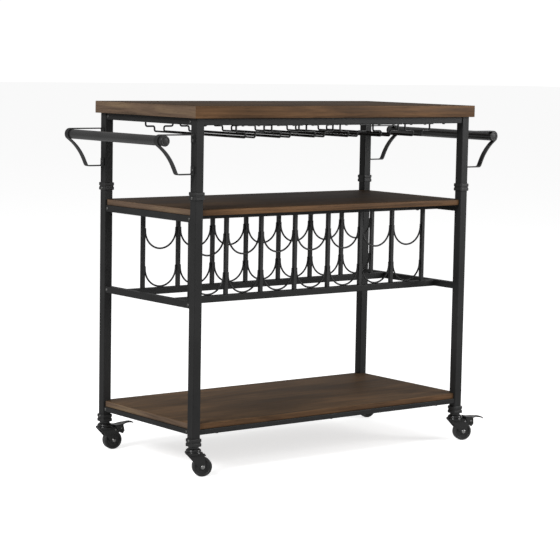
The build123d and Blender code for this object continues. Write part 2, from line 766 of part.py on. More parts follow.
def brake_pedal():
    """A released pedal: a bent plate on two ears, with a shoe that swings in to the tread."""
    outer = ear_inner + pedal_ear_thickness
    half_plate = pedal_plate_thickness / 2
    start, knee, crest, tip = [
        (pedal_pivot_x + out, pedal_pivot_z + up)
        for out, up in (pedal_start, pedal_knee, pedal_crest, pedal_tip)
    ]
    travel = radians(pedal_travel)
    locked = Plane(
        origin=(pedal_pivot_x, 0, pedal_pivot_z), x_dir=(cos(travel), 0, sin(travel)), z_dir=(0, -1, 0)
    )
    axle_from_pivot = (trail - pedal_pivot_x, wheel_radius - pedal_pivot_z)
    with BuildPart() as pedal:
        with BuildSketch(Plane.XZ):
            with BuildLine():
                upper = Spline(*[(x, z + half_plate) for x, z in (start, knee, crest, tip)])
                lower = Spline(*[(x, z - half_plate) for x, z in (start, knee, crest, tip)])
                Line(upper @ 0, lower @ 0)
                Line(upper @ 1, lower @ 1)
            make_face()
        extrude(amount=outer, both=True)
        with BuildSketch(Plane.XY.offset(pedal_pivot_z)) as footprint:
            with BuildLine():
                Polyline(
                    (start[0], -outer),
                    (knee[0], -outer),
                    (crest[0], -pedal_tip_half_width),
                    (tip[0], -pedal_tip_half_width),
                    (tip[0], pedal_tip_half_width),
                    (crest[0], pedal_tip_half_width),
                    (knee[0], outer),
                    (start[0], outer),
                    close=True,
                )
            make_face()
            fillet(footprint.vertices().group_by(Axis.X)[-1], pedal_tip_radius)
        extrude(amount=crest[1], mode=Mode.INTERSECT)
        for side in (-1, 1):
            with BuildSketch(Plane.XZ.offset(-side * ear_inner)):
                with Locations((pedal_pivot_x, pedal_pivot_z)):
                    Circle(pedal_boss_radius)
                for ear_x in (pedal_pivot_x - pedal_ear_half, pedal_pivot_x + pedal_ear_half):
                    with Locations((ear_x, pedal_pivot_z + pedal_ear_rise)):
                        Circle(pedal_ear_corner)
                make_hull()
                with Locations((pedal_pivot_x, pedal_pivot_z)):
                    Circle(pivot_pin_radius + running_clearance, mode=Mode.SUBTRACT)
            extrude(amount=-side * pedal_ear_thickness)
        with BuildSketch(locked):
            with BuildLine():
                Polyline(*shoe_outline, close=True)
            make_face()
            with Locations(axle_from_pivot):
                Circle(wheel_radius + shoe_clearance, mode=Mode.SUBTRACT)
        extrude(amount=shoe_half_width, both=True)
    return pedal.part


stem = caster_stem()
stems = []
pivot_axis = Axis((pedal_pivot_x, 0, pedal_pivot_z), (0, 1, 0))
for corner, (side_x, side_y) in corners.items():
    place = Location((side_x * leg_x, side_y * leg_y, 0), (0, 0, caster_turn[corner]))
    stems.append(stem.moved(Location((side_x * leg_x, side_y * leg_y, 0))))
    save(caster_fork(corner in pedal_at_rest).moved(place), f"caster_fork_{corner}")
    save(caster_wheel().moved(place), f"caster_wheel_{corner}")
    save(caster_axle().moved(place), f"caster_axle_{corner}")
    if corner in pedal_at_rest:
        pedal = brake_pedal()
        if pedal_at_rest[corner] == "locked":
            pedal = pedal.rotate(pivot_axis, pedal_travel)
        save(pedal.moved(place), f"brake_pedal_{corner}")
save(Compound(children=stems), "caster_stems")
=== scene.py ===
"""Looks for a bar cart on casters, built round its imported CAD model. Metres, in the cart's frame."""

import math

import bmesh
import bpy
import numpy as np
from mathutils import Matrix, Vector
from mathutils.geometry import convex_hull_2d


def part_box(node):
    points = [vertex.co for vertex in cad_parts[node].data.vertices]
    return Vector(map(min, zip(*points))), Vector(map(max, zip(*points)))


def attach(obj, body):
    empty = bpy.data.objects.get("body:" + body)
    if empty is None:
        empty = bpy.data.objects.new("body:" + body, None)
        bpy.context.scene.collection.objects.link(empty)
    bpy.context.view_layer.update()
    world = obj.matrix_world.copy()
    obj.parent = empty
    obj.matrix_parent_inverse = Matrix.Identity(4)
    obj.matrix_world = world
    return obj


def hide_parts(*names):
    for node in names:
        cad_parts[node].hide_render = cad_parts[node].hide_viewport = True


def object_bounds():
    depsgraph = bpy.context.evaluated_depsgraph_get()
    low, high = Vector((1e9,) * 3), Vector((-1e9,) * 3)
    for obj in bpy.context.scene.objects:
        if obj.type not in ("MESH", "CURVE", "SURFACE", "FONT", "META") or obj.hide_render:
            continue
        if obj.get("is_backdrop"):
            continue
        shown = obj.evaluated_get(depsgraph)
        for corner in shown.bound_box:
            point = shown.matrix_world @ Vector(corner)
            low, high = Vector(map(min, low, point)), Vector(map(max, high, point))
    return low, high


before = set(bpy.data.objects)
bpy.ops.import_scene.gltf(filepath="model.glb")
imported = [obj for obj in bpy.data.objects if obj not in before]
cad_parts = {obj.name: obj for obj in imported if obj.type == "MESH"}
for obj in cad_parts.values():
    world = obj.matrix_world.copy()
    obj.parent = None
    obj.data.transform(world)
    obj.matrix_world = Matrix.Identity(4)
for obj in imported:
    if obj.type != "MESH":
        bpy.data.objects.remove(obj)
cad_low, cad_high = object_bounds()

MM = 0.001
CORNERS = ("front_left", "front_right", "back_left", "back_right")
SMOOTH_UNDER = math.radians(32)

# --- sizes of the parts that are drawn again in finer detail, in millimetres ----------------------
EASED_EDGE = 1.2
NOTCH_GAP = 0.5  # from a leg to the edge of a shelf's notch
WIRE = 2.5
GRIP, GRIP_BORE = 13.0, 11.5
GRIP_OUT, GRIP_IN = 9.3, 4.0  # its standing end past the strap's edge, its flush end inside it
FLUSH_GAP = 0.1  # a flush cap is this much smaller than its grip
CAP = {"radius": 14.0, "depth": 5.0, "plug": 11.0, "plug_end": 8.0}
FRAME_SCREW = {"head": 4.0, "rise": 2.2, "shank": 2.0, "length": 8.0}
BOARD_SCREW = {"head": 4.5, "rise": 3.0, "shank": 1.95, "length": 20.0}
SPOKES = 8
CHEEK_INNER, CHEEK_OUTER = 11.5, 14.0
CHEEK_BOSS, CHEEK_TAIL = 8.5, 5.0  # radii round the axle and at the cheek's top
CHEEK_NOSE = (-17.0, 62.5, 4.0)  # out from the swivel, up from the floor, and radius
BRIDGE_OUT, BRIDGE_UP = (5.0, 32.0), (55.5, 58.0)
AXLE, NUT, NUT_HEIGHT = 4.0, 6.5, 4.0
PIVOT_OUT, PIVOT_UP = 14.0, 32.0  # brake pedal's pin, out and up from the axle
STOP_OUT, STOP_UP = 5.0, 30.0  # rivet on the cheek, out and up from the axle
SHOE_RIVET = (11.0, -2.0)  # out and up from the pin of a locked pedal
RIVET = (2.6, 1.2)  # radius and rise
PIN_HEAD = (2.5, 0.4)
EAR_OUTER, EAR_THICKNESS = 16.4, 2.0
EAR = [(0.0, 0.0, 5.0), (-8.0, 8.5, 2.0), (8.0, 8.5, 2.0)]  # circles about the pedal's pin
TIP, TIP_ROUND, TIP_HALF = 50.0, 6.0, 9.0
PLATE_START, PLATE_TAPER, PLATE_HALF = -11.0, (12.0, 25.0), 1.6
PLATE_LINE = np.polyfit([PLATE_START, *PLATE_TAPER, TIP], [9.5, 11.2, 14.0, 12.0], 3)  # over the pin
TREAD_RIBS, RIB_HALF_WIDTH, RIB_HALF_LENGTH = (29.0, 34.0, 39.0, 44.0), 0.8, 6.5
SHOE = [(4.4, -12.8), (13.0, -19.0), (20.0, -12.0), (19.0, 8.0), (10.0, 8.0)]
SHOE_HALF = 8.0
PEDAL_TRAVEL = math.radians(10)
PEDAL_LIFT = {"front_right": 0.0, "back_left": PEDAL_TRAVEL}  # above the locked pedal, at rest

# strengths of the white world, as light on the cart and as the backdrop that is seen
FILL_LIGHT, BACKDROP = 0.3, 1.05
# the floor's tone in reflections and as it is seen, with its bounce halfway, and its own glow
FLOOR_MIRRORED, FLOOR_SEEN = 0.35, 0.89
GLOW_BOUNCED, GLOW_SEEN = 0.14, 0.68
FLOOR = 60.0


# --- node and mesh helpers ------------------------------------------------------------------------
def linear(code):
    """An sRGB hex colour as linear RGBA."""
    parts = [int(code[i : i + 2], 16) / 255 for i in (1, 3, 5)]
    return [c / 12.92 if c <= 0.04045 else ((c + 0.055) / 1.055) ** 2.4 for c in parts] + [1.0]


def add(tree, kind, inputs=None, stops=None, **settings):
    """Add a node with its settings, its input values or links, and its colour stops."""
    node = tree.nodes.new(kind)
    for name, value in settings.items():
        setattr(node, name, value)
    for key, value in (inputs or {}).items():
        if isinstance(value, bpy.types.NodeSocket):
            tree.links.new(value, node.inputs[key])
        else:
            node.inputs[key].default_value = value
    if stops:
        elements = node.color_ramp.elements
        elements[0].position, elements[-1].position = stops[0][0], stops[-1][0]
        for place, _ in stops[1:-1]:
            elements.new(place)
        for element, (_, colour) in zip(elements, stops):
            element.color = colour
    return node


def new_material(name):
    material = bpy.data.materials.new(name)
    material.use_nodes = True
    material.node_tree.nodes.clear()
    return material, material.node_tree


def finish_material(tree, inputs):
    shader = add(tree, "ShaderNodeBsdfPrincipled", inputs)
    add(tree, "ShaderNodeOutputMaterial", {"Surface": shader.outputs["BSDF"]})


def piece(name, body, mesh, materials, replaced=()):
    """A finished piece at the origin that rides on a body."""
    obj = bpy.data.objects.new(name, mesh)
    bpy.context.scene.collection.objects.link(obj)
    for material in materials:
        if material.name not in [m.name for m in mesh.materials if m]:
            mesh.materials.append(material)
    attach(obj, body)
    if replaced:
        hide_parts(*replaced)
    return obj


def smooth_mesh(bm, name):
    """Turn a bmesh into a mesh that is smooth except at its creases."""
    mesh = bpy.data.meshes.new(name)
    bm.to_mesh(mesh)
    bm.free()
    mesh.shade_smooth()
    mesh.set_sharp_from_angle(angle=SMOOTH_UNDER)
    return mesh


def turned(bm, profile, place, segments=48, closed=False):
    """Turn a profile of (radius, height) round Z. An open one starts and ends on the axis."""
    rings = []
    for radius, height in profile:
        if radius == 0:
            rings.append([bm.verts.new(place @ Vector((0, 0, height * MM)))])
            continue
        angles = [2 * math.pi * i / segments for i in range(segments)]
        spots = [(radius * math.cos(a) * MM, radius * math.sin(a) * MM, height * MM) for a in angles]
        rings.append([bm.verts.new(place @ Vector(p)) for p in spots])
    pairs = list(zip(rings, rings[1:])) + ([(rings[-1], rings[0])] if closed else [])
    faces = []
    for low, high in pairs:
        for i in range(segments):
            j = (i + 1) % segments
            corners = [low[i % len(low)], low[j % len(low)], high[j % len(high)], high[i % len(high)]]
            unique = list(dict.fromkeys(corners))
            faces.append(bm.faces.new(unique))
    bmesh.ops.recalc_face_normals(bm, faces=faces)


def slab(bm, outline, low, high, place, bevel=0.0, segments=2):
    """Extrude an outline of (x, y) from low to high along Z, with its edges rounded."""
    start = [bm.verts.new(place @ Vector((x * MM, y * MM, low * MM))) for x, y in outline]
    bottom = bm.faces.new(start)
    pulled = bmesh.ops.extrude_face_region(bm, geom=[bottom])["geom"]
    top = [g for g in pulled if isinstance(g, bmesh.types.BMVert)]
    lift = place.to_3x3() @ Vector((0, 0, (high - low) * MM))
    bmesh.ops.translate(bm, vec=lift, verts=top)
    faces = list({f for v in start + top for f in v.link_faces})
    bmesh.ops.recalc_face_normals(bm, faces=faces)
    if bevel:
        edges = {e for f in faces for e in f.edges}
        sharp = [e for e in edges if e.calc_face_angle(0) > SMOOTH_UNDER]
        bmesh.ops.bevel(
            bm, geom=sharp, offset=bevel * MM, segments=segments, profile=0.5, affect="EDGES"
        )


def rectangle(x_low, y_low, x_high, y_high):
    return [(x_low, y_low), (x_high, y_low), (x_high, y_high), (x_low, y_high)]


def facing_y(place, side):
    """A place whose Z looks along Y: to the back for a side of 1, to the front for -1."""
    return Matrix.Translation(place) @ Matrix.Rotation(-side * math.pi / 2, 4, "X")


def away(height):
    """A step along a place's own Z."""
    return Matrix.Translation((0, 0, height * MM))


def hull_of(circles, steps=32):
    """The outline of a plate that wraps circles given as (x, y, radius)."""
    spots = []
    for x, y, radius in circles:
        for i in range(steps):
            angle = 2 * math.pi * i / steps
            spots.append((x + radius * math.cos(angle), y + radius * math.sin(angle)))
    return [spots[i] for i in convex_hull_2d(spots)]


def solids_of(node):
    """The (low, high) corners of each separate solid in a CAD node."""
    bm = bmesh.new()
    bm.from_mesh(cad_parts[node].data)
    bmesh.ops.remove_doubles(bm, verts=bm.verts, dist=1e-6)
    seen, boxes = set(), []
    for start in bm.verts:
        if start in seen:
            continue
        seen.add(start)
        waiting, found = [start], []
        while waiting:
            vert = waiting.pop()
            found.append(vert.co.copy())
            for edge in vert.link_edges:
                other = edge.other_vert(vert)
                if other not in seen:
                    seen.add(other)
                    waiting.append(other)
        low = Vector([min(co[i] for co in found) for i in range(3)])
        high = Vector([max(co[i] for co in found) for i in range(3)])
        boxes.append((low, high))
    bm.free()
    return boxes


# --- materials ------------------------------------------------------------------------------------
def rustic_laminate(name, along, light, middle, dark):
    """Melamine-faced board printed with smoked oak: long soft streaks and a satin resin face."""
    material, tree = new_material(name)
    where = add(tree, "ShaderNodeTexCoord").outputs["Object"]

    def grain(length_mm, width_mm, detail, distortion):
        sizes = [1000 / width_mm] * 3
        sizes[along] = 1000 / length_mm
        place = add(tree, "ShaderNodeMapping", {"Vector": where, "Scale": sizes})
        values = {
            "Vector": place.outputs["Vector"],
            "Scale": 1.0,
            "Detail": detail,
            "Roughness": 0.55,
            "Distortion": distortion,
        }
        return add(tree, "ShaderNodeTexNoise", values).outputs["Fac"]

    # clouds of tone from plank to plank, growth rings cut lengthwise, streaks, and short pores
    # that are really 0.3 mm wide, drawn 2 mm wide so that they show
    tone = grain(420, 120, 2.0, 0.3)
    figure = grain(900, 60, 1.5, 0.6)
    streak = grain(260, 7, 4.0, 0.2)
    pore = grain(34, 2.0, 2.0, 0.0)
    turns = add(tree, "ShaderNodeMath", {0: figure, 1: 60.0}, operation="MULTIPLY").outputs[0]
    rings = add(tree, "ShaderNodeMath", {0: turns}, operation="SINE").outputs[0]
    ring_share = add(tree, "ShaderNodeMath", {0: rings, 1: 0.045}, operation="MULTIPLY").outputs[0]
    tone_share = add(tree, "ShaderNodeMath", {0: tone, 1: 0.7}, operation="MULTIPLY").outputs[0]
    streaked = add(tree, "ShaderNodeMath", {0: streak, 1: 0.7, 2: tone_share}, operation="MULTIPLY_ADD")
    ringed = add(tree, "ShaderNodeMath", {0: streaked.outputs[0], 1: ring_share}, operation="ADD")
    colours = add(
        tree,
        "ShaderNodeValToRGB",
        {"Fac": ringed.outputs[0]},
        stops=[(0.48, linear(dark)), (0.68, linear(middle)), (0.90, linear(light))],
    )
    pores = add(
        tree,
        "ShaderNodeMapRange",
        {"Value": pore, "From Min": 0.33, "From Max": 0.42, "To Min": 0.72, "To Max": 1.0},
    )
    colour = add(
        tree,
        "ShaderNodeVectorMath",
        {0: colours.outputs["Color"], 3: pores.outputs["Result"]},
        operation="SCALE",
    )
    height = add(
        tree, "ShaderNodeMath", {0: streak, 1: pores.outputs["Result"]}, operation="MULTIPLY"
    ).outputs[0]
    bump = add(tree, "ShaderNodeBump", {"Height": height, "Strength": 0.25, "Distance": 0.0003})
    rough = add(
        tree,
        "ShaderNodeMapRange",
        {"Value": streak, "From Min": 0.3, "From Max": 0.7, "To Min": 0.50, "To Max": 0.62},
    )
    finish_material(
        tree,
        {
            "Base Color": colour.outputs["Vector"],
            "Roughness": rough.outputs["Result"],
            "Normal": bump.outputs["Normal"],
            "Specular IOR Level": 0.14,
        },
    )
    return material


def fine_coat(name, base, high, grit_mm, depth_mm, shader):
    """A finish whose fine grit shifts the tone a little and breaks up the gloss."""
    material, tree = new_material(name)
    where = add(tree, "ShaderNodeTexCoord").outputs["Object"]
    grit = add(
        tree,
        "ShaderNodeTexNoise",
        {"Vector": where, "Scale": 1000 / grit_mm, "Detail": 3.0, "Roughness": 0.6},
    ).outputs["Fac"]
    cloud = add(
        tree, "ShaderNodeTexNoise", {"Vector": where, "Scale": 1000 / 90, "Detail": 2.0}
    ).outputs["Fac"]
    both = add(tree, "ShaderNodeMath", {0: grit, 1: 0.5, 2: cloud}, operation="MULTIPLY_ADD").outputs[0]
    colour = add(
        tree,
        "ShaderNodeValToRGB",
        {"Fac": both},
        stops=[(0.55, linear(base)), (0.95, linear(high))],
    )
    bump = add(
        tree, "ShaderNodeBump", {"Height": grit, "Strength": 0.35, "Distance": depth_mm * MM}
    )
    low, spread = shader.pop("Roughness")
    rough = add(
        tree,
        "ShaderNodeMapRange",
        {"Value": grit, "From Min": 0.3, "From Max": 0.7, "To Min": low, "To Max": low + spread},
    )
    inputs = {
        "Base Color": colour.outputs["Color"],
        "Roughness": rough.outputs["Result"],
        "Normal": bump.outputs["Normal"],
    }
    finish_material(tree, {**inputs, **shader})
    return material


# Melamine-faced board: a smoked oak print, brown, dark and satin, with streaks along the board.
board_face = rustic_laminate("smoked_oak_melamine", 0, "#523d27", "#402f1f", "#2e2217")
# The same print on the lowest shelf, a shade lighter: painted light, a lit copy for the lowest shelf,
# while the middle shelf lies in the shade of the top and the rack.
lit_low_shelf_face = rustic_laminate("smoked_oak_melamine_painted_lighter", 0, "#70563d", "#56422e", "#3f3123")
# The boards' edges, in lit copies of the same print: painted light makes them warmer and lighter on the
# long edges, and painted light with a painted reflection makes them lighter and greyer on the ends.
lit_long_edge_print = rustic_laminate("smoked_oak_long_edge_painted_light", 0, "#7a5a3d", "#60462f", "#483524")
lit_end_edge_print = rustic_laminate("smoked_oak_end_edge_painted_light_and_reflection", 1, "#7e6a53", "#695647", "#524437")
# Baked polyester powder on steel tube: charcoal, satin, with the faint orange peel of the powder,
# which is about 0.4 mm and is drawn at 1.5 mm so that it shows.
powder_coat = fine_coat(
    "charcoal_powder_coat",
    "#212121",
    "#292929",
    1.5,
    0.06,
    {"Roughness": (0.38, 0.14), "Specular IOR Level": 0.25},
)
# The same powder on thin wire and strap, where it flows a little glossier; drawn a shade darker than on
# the tubes, which is painted shade on the straps' and wires' faces.
wire_coat = fine_coat(
    "black_powder_coated_wire", "#1c1c1c", "#242424", 1.2, 0.03, {"Roughness": (0.34, 0.12)}
)
# The powder on the round grips, polished a little by hands, so it holds a clear streak of light.
grip_coat = fine_coat(
    "hand_polished_powder_coat",
    "#212121",
    "#292929",
    1.5,
    0.04,
    {"Roughness": (0.24, 0.10), "Specular IOR Level": 0.9},
)
# Blackened steel screws: an oiled dark oxide with a metal sheen.
black_oxide = fine_coat(
    "black_oxide_steel", "#6a6a68", "#828280", 0.8, 0.02, {"Roughness": (0.34, 0.16), "Metallic": 0.85}
)
# Zinc-plated steel: bright, slightly cloudy metal.
zinc_plate = fine_coat(
    "zinc_plated_steel", "#9d9d9b", "#bababa", 1.0, 0.02, {"Roughness": (0.24, 0.16), "Metallic": 1.0}
)
# Moulded black nylon: a satin skin with a fine spark-eroded texture.
moulded_nylon = fine_coat(
    "moulded_black_nylon", "#2a2a2a", "#353535", 0.9, 0.03, {"Roughness": (0.32, 0.14)}
)
# Electro-coated pressed steel: smooth gloss black over the press marks.
gloss_coat = fine_coat(
    "black_electrocoated_steel",
    "#171717",
    "#1e1e1e",
    6.0,
    0.05,
    {"Roughness": (0.2, 0.12), "Coat Weight": 0.3},
)
# Moulded black polypropylene of the caps: matt, with a faint leathery skin.
cap_plastic = fine_coat(
    "moulded_black_polypropylene", "#1d1d1d", "#252525", 1.0, 0.05, {"Roughness": (0.42, 0.12)}
)


# --- camera, floor and light ----------------------------------------------------------------------
scene = bpy.context.scene
camera = bpy.data.objects.new("camera", bpy.data.cameras.new("camera"))
scene.collection.objects.link(camera)
scene.camera = camera
camera.data.sensor_width = 36.0
camera.data.lens = 127.68
yaw, pitch, roll = 0.660, 0.112, 0.018
forward = Vector((math.sin(yaw) * math.cos(pitch), math.cos(yaw) * math.cos(pitch), -math.sin(pitch)))
right = Vector((math.cos(yaw), -math.sin(yaw), 0.0))
upward = right.cross(forward)
right, upward = (
    right * math.cos(roll) + upward * math.sin(roll),
    upward * math.cos(roll) - right * math.sin(roll),
)
turn = Matrix((right, upward, -forward)).transposed().to_4x4()
camera.matrix_world = Matrix.Translation((-3.4376, -4.4027, 1.1004)) @ turn
camera.data.clip_end = 200.0


def softbox(name, place, aim, size, power):
    """A square studio light that points at a spot."""
    data = bpy.data.lights.new(name, "AREA")
    data.size = size
    data.energy = power
    light = bpy.data.objects.new(name, data)
    scene.collection.objects.link(light)
    light.location = place
    light.rotation_euler = (Vector(aim) - Vector(place)).to_track_quat("-Z", "Y").to_euler()


middle = (cad_low + cad_high) / 2
softbox("left_softbox", (-5.4, -1.5, 4.2), middle, 2.2, 272)
softbox("front_softbox", (3.4, -2.9, 1.9), middle, 1.8, 92)
softbox("top_softbox", (0.3, 0.4, 4.2), middle, 2.6, 20)
world = bpy.data.worlds.new("studio")
scene.world = world
world.use_nodes = True
world.node_tree.nodes.clear()
rays = add(world.node_tree, "ShaderNodeLightPath")
fill = add(
    world.node_tree,
    "ShaderNodeMapRange",
    {"Value": rays.outputs["Is Camera Ray"], "To Min": FILL_LIGHT, "To Max": BACKDROP},
)
studio = add(
    world.node_tree, "ShaderNodeBackground", {"Color": (1, 1, 1, 1), "Strength": fill.outputs["Result"]}
)
add(world.node_tree, "ShaderNodeOutputWorld", {"Surface": studio.outputs["Background"]})
scene.view_settings.view_transform = "Standard"

floor_material, floor_tree = new_material("pale_floor")
floor_rays = add(floor_tree, "ShaderNodeLightPath")
floor_seen = add(
    floor_tree,
    "ShaderNodeMath",
    {0: floor_rays.outputs["Is Camera Ray"], 1: floor_rays.outputs["Is Glossy Ray"]},
    operation="SUBTRACT",
)
floor_tone = add(
    floor_tree,
    "ShaderNodeMapRange",
    {"Value": floor_seen.outputs[0], "From Min": -1.0, "To Min": FLOOR_MIRRORED, "To Max": FLOOR_SEEN},
)
floor_glow = add(
    floor_tree,
    "ShaderNodeMapRange",
    {"Value": floor_rays.outputs["Is Camera Ray"], "To Min": GLOW_BOUNCED, "To Max": GLOW_SEEN},
)
finish_material(
    floor_tree,
    {
        "Roughness": 0.9,
        "Specular IOR Level": 0.0,
        "Base Color": floor_tone.outputs["Result"],
        "Emission Color": (1, 1, 1, 1),
        "Emission Strength": floor_glow.outputs["Result"],
    },
)
floor_mesh = bpy.data.meshes.new("floor")
floor_mesh.from_pydata(
    [(-FLOOR, -FLOOR, 0), (FLOOR, -FLOOR, 0), (FLOOR, FLOOR, 0), (-FLOOR, FLOOR, 0)], [], [(0, 1, 2, 3)]
)
floor_mesh.materials.append(floor_material)
floor = bpy.data.objects.new("floor", floor_mesh)
floor.location.z = -0.0005
scene.collection.objects.link(floor)
floor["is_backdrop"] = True

# --- finishes of the CAD pieces that stay ---------------------------------------------------------
finish_of = {"caster_stems": gloss_coat, "leg_collars": cap_plastic}
for node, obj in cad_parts.items():
    if node.startswith(("caster_fork", "brake_pedal")):
        finish = gloss_coat
    elif node.startswith("handle_grip"):
        finish = grip_coat
    elif node.startswith(("rack_cradles", "glass_rack", "handle_straps", "rack_bars")):
        finish = wire_coat
    else:
        finish = finish_of.get(node, powder_coat)
    obj.data.materials.clear()
    obj.data.materials.append(finish)


# --- boards ---------------------------------------------------------------------------------------
def board(name, outline, low, high):
    """A board with softly eased edges: printed faces, and edges in lit copies of the print, with painted
    light on them.
    """
    bm = bmesh.new()
    slab(bm, outline, low, high, Matrix(), EASED_EDGE, 3)
    for face in bm.faces:
        normal = face.normal
        # The edges take the lit copies by the way they face: one copy on the long edges, and a lighter,
        # greyer one on the ends, which is painted light and reflection.
        if abs(normal.z) < 0.5:
            face.material_index = 2 if abs(normal.x) > abs(normal.y) else 1
    mesh = smooth_mesh(bm, name)
    # The bottom shelf takes the lighter, lit copy of the print: painted light.
    face = lit_low_shelf_face if name == "bottom_shelf" else board_face
    return piece(name + "_laminate", "cart", mesh, [face, lit_long_edge_print, lit_end_edge_print], [name])


def box_mm(node):
    low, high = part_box(node)
    return low / MM, high / MM


low, high = box_mm("top_board")
board("top_board", rectangle(low.x, low.y, high.x, high.y), low.z, high.z)
leg_low, _ = box_mm("lower_leg_back_right")
for shelf in ("middle_shelf", "bottom_shelf"):
    low, high = box_mm(shelf)
    x_notch, y_notch = leg_low.x - NOTCH_GAP, leg_low.y - NOTCH_GAP
    quarter = [(high.x, y_notch), (x_notch, y_notch), (x_notch, high.y)]
    outline = quarter + [(-x, y) for x, y in reversed(quarter)]
    outline += [(-x, -y) for x, y in quarter] + [(x, -y) for x, y in reversed(quarter)]
    board(shelf, outline, low.z, high.z)


# --- screws, by geometry nodes --------------------------------------------------------------------
def screw_mesh(sizes):
    """A domed screw with a cross recess, its head's seat at the origin and its head to +Z."""
    head, rise = sizes["head"], sizes["rise"]
    dome = [(head * math.cos(a), rise * (0.25 + 0.75 * math.sin(a))) for a in np.linspace(0, 1.35, 5)]
    profile = [(0, -sizes["length"]), (sizes["shank"], -sizes["length"]), (sizes["shank"], 0), (head, 0)]
    bm = bmesh.new()
    turned(bm, profile + dome + [(0, rise)], Matrix(), 20)
    body = smooth_mesh(bm, "screw")
    cutter = bmesh.new()
    arm, half = head * 0.55, head * 0.13
    for quarter_turn in (0, math.pi / 2):
        slot = rectangle(-arm, -half, arm, half)
        slab(cutter, slot, rise * 0.45, rise * 1.5, Matrix.Rotation(quarter_turn, 4, "Z"))
    tool = bpy.data.objects.new("recess", smooth_mesh(cutter, "recess"))
    obj = bpy.data.objects.new("screw", body)
    for o in (tool, obj):
        scene.collection.objects.link(o)
    cut = obj.modifiers.new("recess", "BOOLEAN")
    cut.object, cut.operation, cut.solver, cut.use_self = tool, "DIFFERENCE", "EXACT", True
    result = bpy.data.meshes.new_from_object(obj.evaluated_get(bpy.context.evaluated_depsgraph_get()))
    bpy.data.objects.remove(tool)
    bpy.data.objects.remove(obj)
    result.materials.clear()
    result.shade_smooth()
    result.set_sharp_from_angle(angle=SMOOTH_UNDER)
    return result


def new_tree(name, sockets):
    """A geometry tree with named inputs. Returns it and its group input node."""
    tree = bpy.data.node_groups.new(name, "GeometryNodeTree")
    for label, kind in (("Geometry", "NodeSocketGeometry"), *sockets):
        tree.interface.new_socket(label, in_out="INPUT", socket_type=kind)
    tree.interface.new_socket("Geometry", in_out="OUTPUT", socket_type="NodeSocketGeometry")
    return tree, add(tree, "NodeGroupInput")


def grown(name, base, tree, values):
    """The plain mesh that a geometry tree makes from a base mesh."""
    obj = bpy.data.objects.new(name, base)
    scene.collection.objects.link(obj)
    modifier = obj.modifiers.new("grow", "NODES")
    modifier.node_group = tree
    for item in tree.interface.items_tree:
        if item.in_out == "INPUT" and item.name in values:
            modifier[item.identifier] = values[item.name]
    mesh = bpy.data.meshes.new_from_object(obj.evaluated_get(bpy.context.evaluated_depsgraph_get()))
    obj.modifiers.clear()
    bpy.data.objects.remove(obj)
    return mesh


def copies_tree(name, material):
    """A copy of one object at each point, its Z along the point's facing, at a seeded roll."""
    tree, group = new_tree(name, [("Copied", "NodeSocketObject"), ("Roll Seed", "NodeSocketInt")])
    facing = add(tree, "GeometryNodeInputNamedAttribute", {"Name": "facing"}, data_type="FLOAT_VECTOR")
    aim = add(tree, "FunctionNodeAlignRotationToVector", {"Vector": facing.outputs["Attribute"]}, axis="Z")
    roll = add(
        tree,
        "FunctionNodeRandomValue",
        {"Min": 0.0, "Max": 1.5, "Seed": group.outputs["Roll Seed"]},
        data_type="FLOAT",
    )
    spin = add(
        tree, "FunctionNodeAxisAngleToRotation", {"Axis": (0, 0, 1), "Angle": roll.outputs["Value"]}
    )
    turned_aim = add(
        tree,
        "FunctionNodeRotateRotation",
        {"Rotation": aim.outputs["Rotation"], "Rotate By": spin.outputs["Rotation"]},
        rotation_space="LOCAL",
    )
    source = add(tree, "GeometryNodeObjectInfo", {"Object": group.outputs["Copied"]})
    placed = add(
        tree,
        "GeometryNodeInstanceOnPoints",
        {
            "Points": group.outputs["Geometry"],
            "Instance": source.outputs["Geometry"],
            "Rotation": turned_aim.outputs["Rotation"],
        },
    )
    real = add(tree, "GeometryNodeRealizeInstances", {"Geometry": placed.outputs["Instances"]})
    painted = add(
        tree,
        "GeometryNodeSetMaterial",
        {"Geometry": real.outputs["Geometry"], "Material": material},
    )
    add(tree, "NodeGroupOutput", {"Geometry": painted.outputs["Geometry"]})
    return tree


def copies(name, shape, places, material, seed=1):
    """A mesh of copies of a shape at (point, facing) places."""
    base = bpy.data.meshes.new(name + "_places")
    base.from_pydata([p for p, _ in places], [], [])
    facing = base.attributes.new("facing", "FLOAT_VECTOR", "POINT")
    facing.data.foreach_set("vector", np.array([f for _, f in places], np.float32).ravel())
    source = bpy.data.objects.new(name + "_source", shape)
    scene.collection.objects.link(source)
    tree = copies_tree(name + "_tree", material)
    mesh = grown(name, base, tree, {"Copied": source, "Roll Seed": seed})
    bpy.data.objects.remove(source)
    return mesh


def screw_places(node, rise):
    """Each screw's seat and the way its head faces, from the solid's own box."""
    places = []
    for low, high in solids_of(node):
        size, centre = high - low, (low + high) / 2
        if size.z > size.y * 1.05:
            places.append((Vector((centre.x, centre.y, low.z + rise * MM)), Vector((0, 0, -1))))
        else:
            side = 1 if centre.x > 0 else -1
            face = high.x - rise * MM if side > 0 else low.x + rise * MM
            places.append((Vector((face, centre.y, centre.z)), Vector((side, 0, 0))))
    return places


for node, sizes in (("frame_screws", FRAME_SCREW), ("board_screws", BOARD_SCREW)):
    mesh = copies(node, screw_mesh(sizes), screw_places(node, sizes["rise"]), black_oxide, seed=4)
    piece(node + "_recessed", "cart", mesh, [black_oxide], [node])


